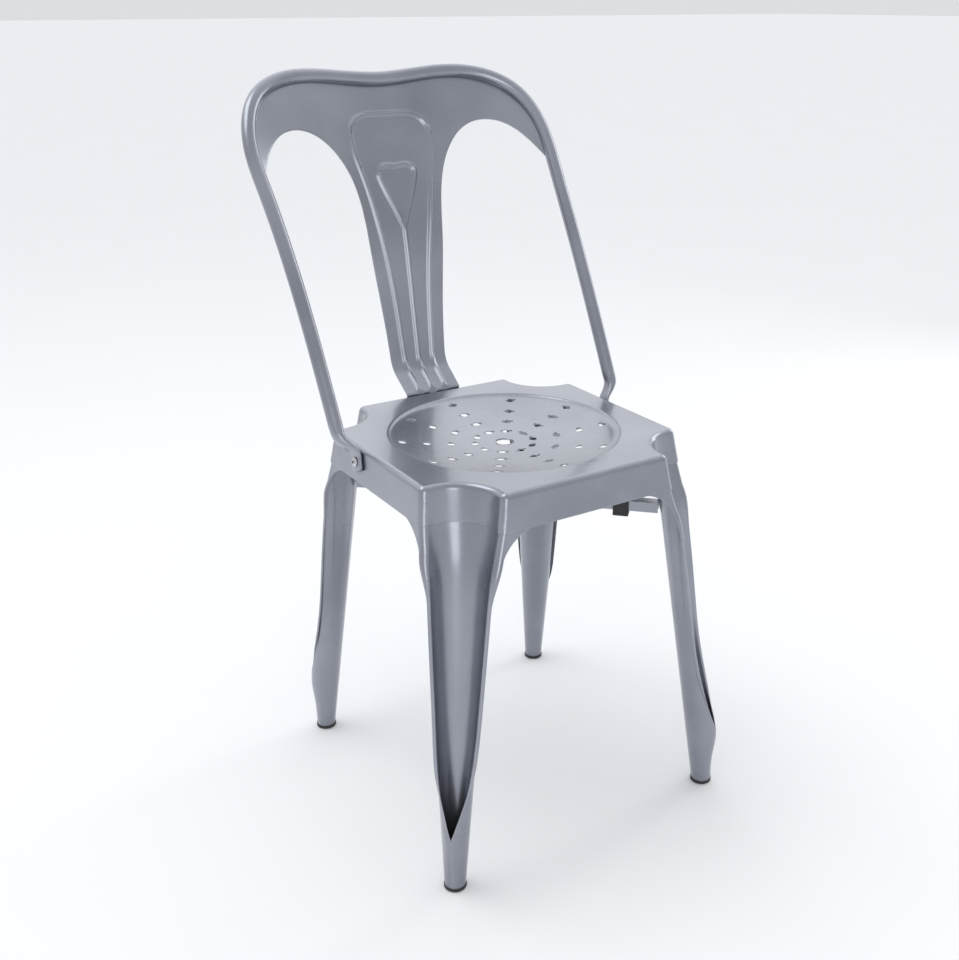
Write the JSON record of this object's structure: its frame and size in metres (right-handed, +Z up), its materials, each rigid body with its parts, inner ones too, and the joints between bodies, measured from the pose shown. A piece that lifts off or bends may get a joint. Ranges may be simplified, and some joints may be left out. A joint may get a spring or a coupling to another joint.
{
  "type": "metal bistro chair",
  "caption": "Stacking metal side chair: perforated dished seat, rolled trough legs, bent tube hoop back with a winged sheet panel.",
  "frame": {"origin": "middle of the chair's bounding box, on the floor", "axes": "+Z up, the front edge of the seat faces -Y, +X to the right as seen from above with the front below"},
  "size_m": [0.4004, 0.4851, 0.8193],
  "materials": {
    "lacquered_steel": "satin silver grey lacquer over pressed sheet steel",
    "fastener_steel": "bright zinc plated steel",
    "rubber": "matt black moulded rubber"
  },
  "bodies": {
    "root": {"seat_pan": "lacquered_steel", "back_hoop": "lacquered_steel", "back_panel": "lacquered_steel", "upper_brace_bar": "lacquered_steel", "lower_brace_bar": "lacquered_steel", "front_left_leg": "lacquered_steel", "front_right_leg": "lacquered_steel", "rear_left_leg": "lacquered_steel", "rear_right_leg": "lacquered_steel", "brace_rivet": "fastener_steel", "hoop_bolt_left": "fastener_steel", "hoop_bolt_right": "fastener_steel", "hoop_nut_left": "fastener_steel", "hoop_nut_right": "fastener_steel", "panel_bolt_left": "fastener_steel", "panel_bolt_right": "fastener_steel", "panel_nut_left": "fastener_steel", "panel_nut_right": "fastener_steel", "front_left_foot_cap": "rubber", "front_right_foot_cap": "rubber", "rear_left_foot_cap": "rubber", "rear_right_foot_cap": "rubber", "front_left_pad": "rubber", "front_right_pad": "rubber", "rear_left_pad": "rubber", "rear_right_pad": "rubber"}
  },
  "joints": []
}
